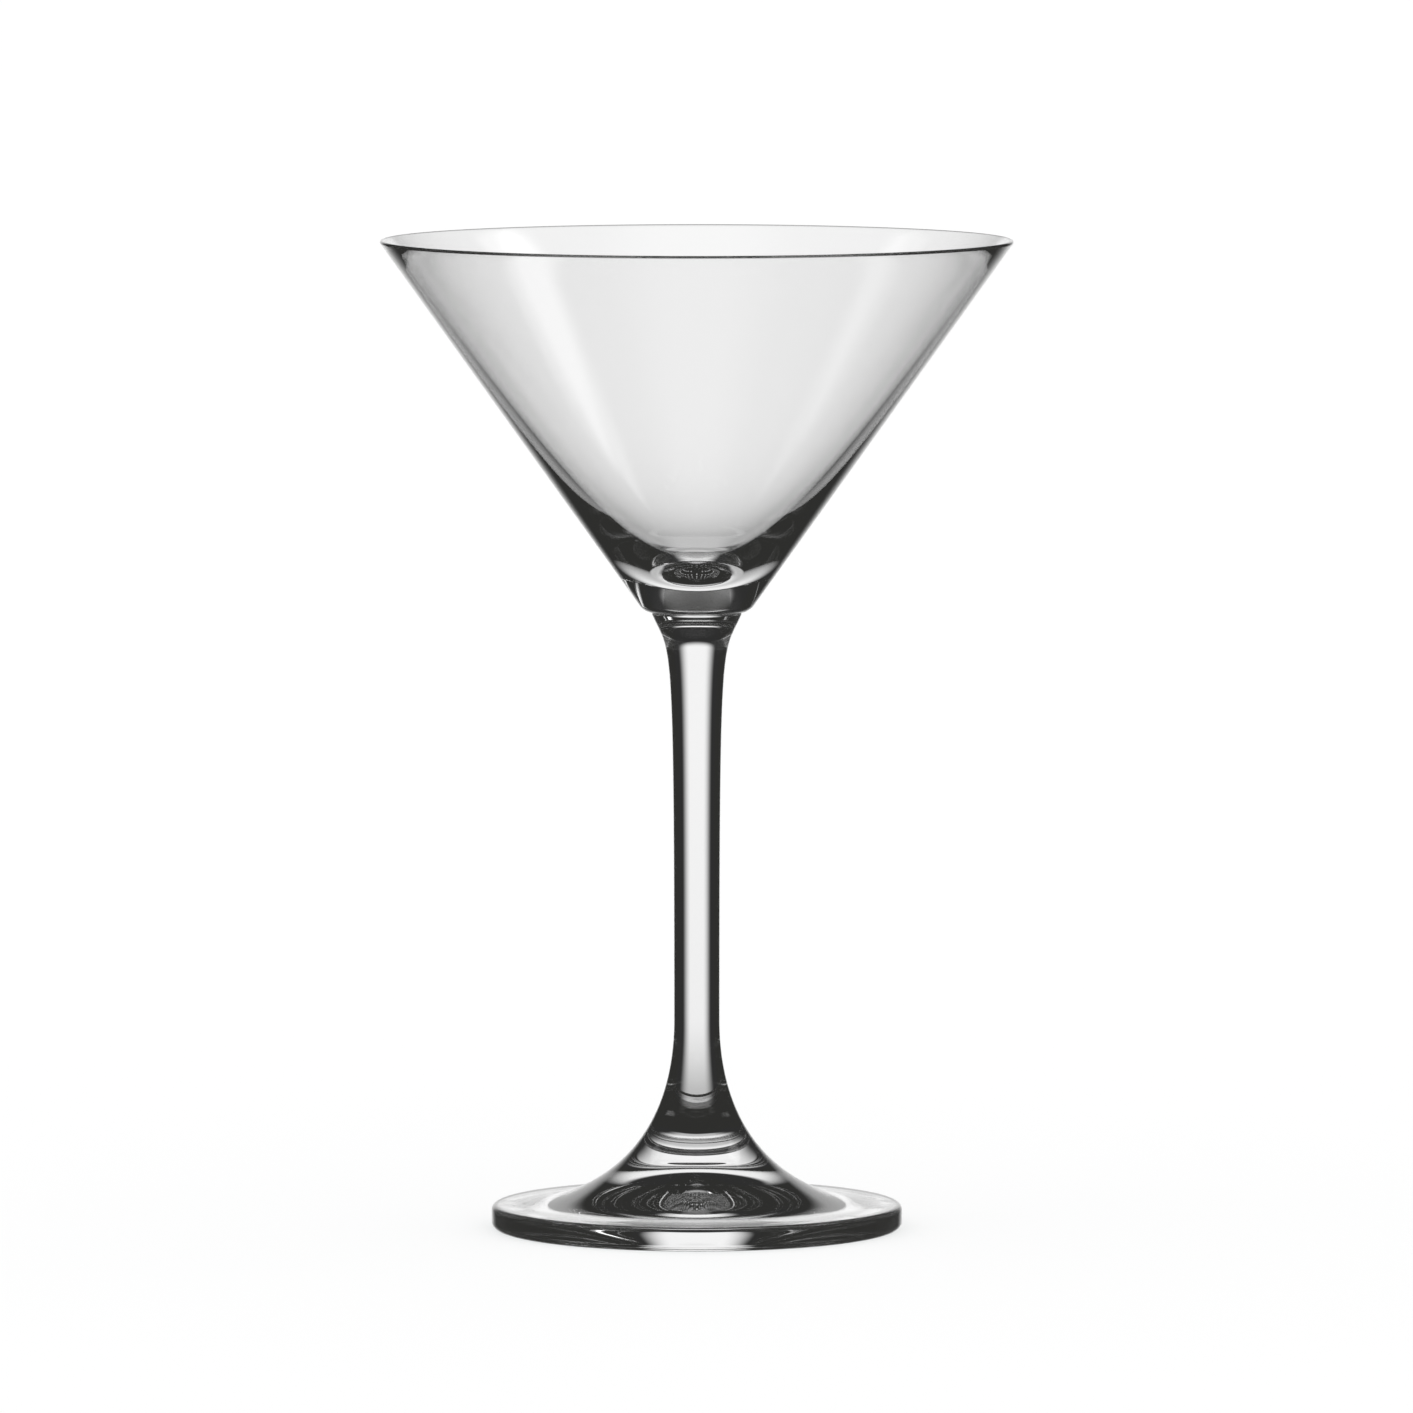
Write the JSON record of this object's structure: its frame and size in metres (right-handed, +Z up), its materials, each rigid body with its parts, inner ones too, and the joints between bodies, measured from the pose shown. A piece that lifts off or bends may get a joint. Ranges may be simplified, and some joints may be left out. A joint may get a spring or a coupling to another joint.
{
  "type": "martini glass",
  "caption": "Stemmed cocktail glass with a straight-sided conical bowl, slender drawn stem and round flared foot with a thick rounded edge.",
  "frame": {"origin": "on the glass's axis, at the height of the surface it stands on", "axes": "+Z up along the axis of the stem; X and Y are any two horizontal directions, because every piece is round"},
  "size_m": [0.1084, 0.1084, 0.17],
  "materials": {
    "bowl_glass": "clear, fire-polished, blown",
    "stem_glass": "clear, fire-polished, drawn",
    "foot_glass": "clear, fire-polished, pressed, faint wear on the standing ring"
  },
  "bodies": {
    "root": {"bowl": "bowl_glass", "stem": "stem_glass", "foot": "foot_glass"}
  },
  "joints": []
}
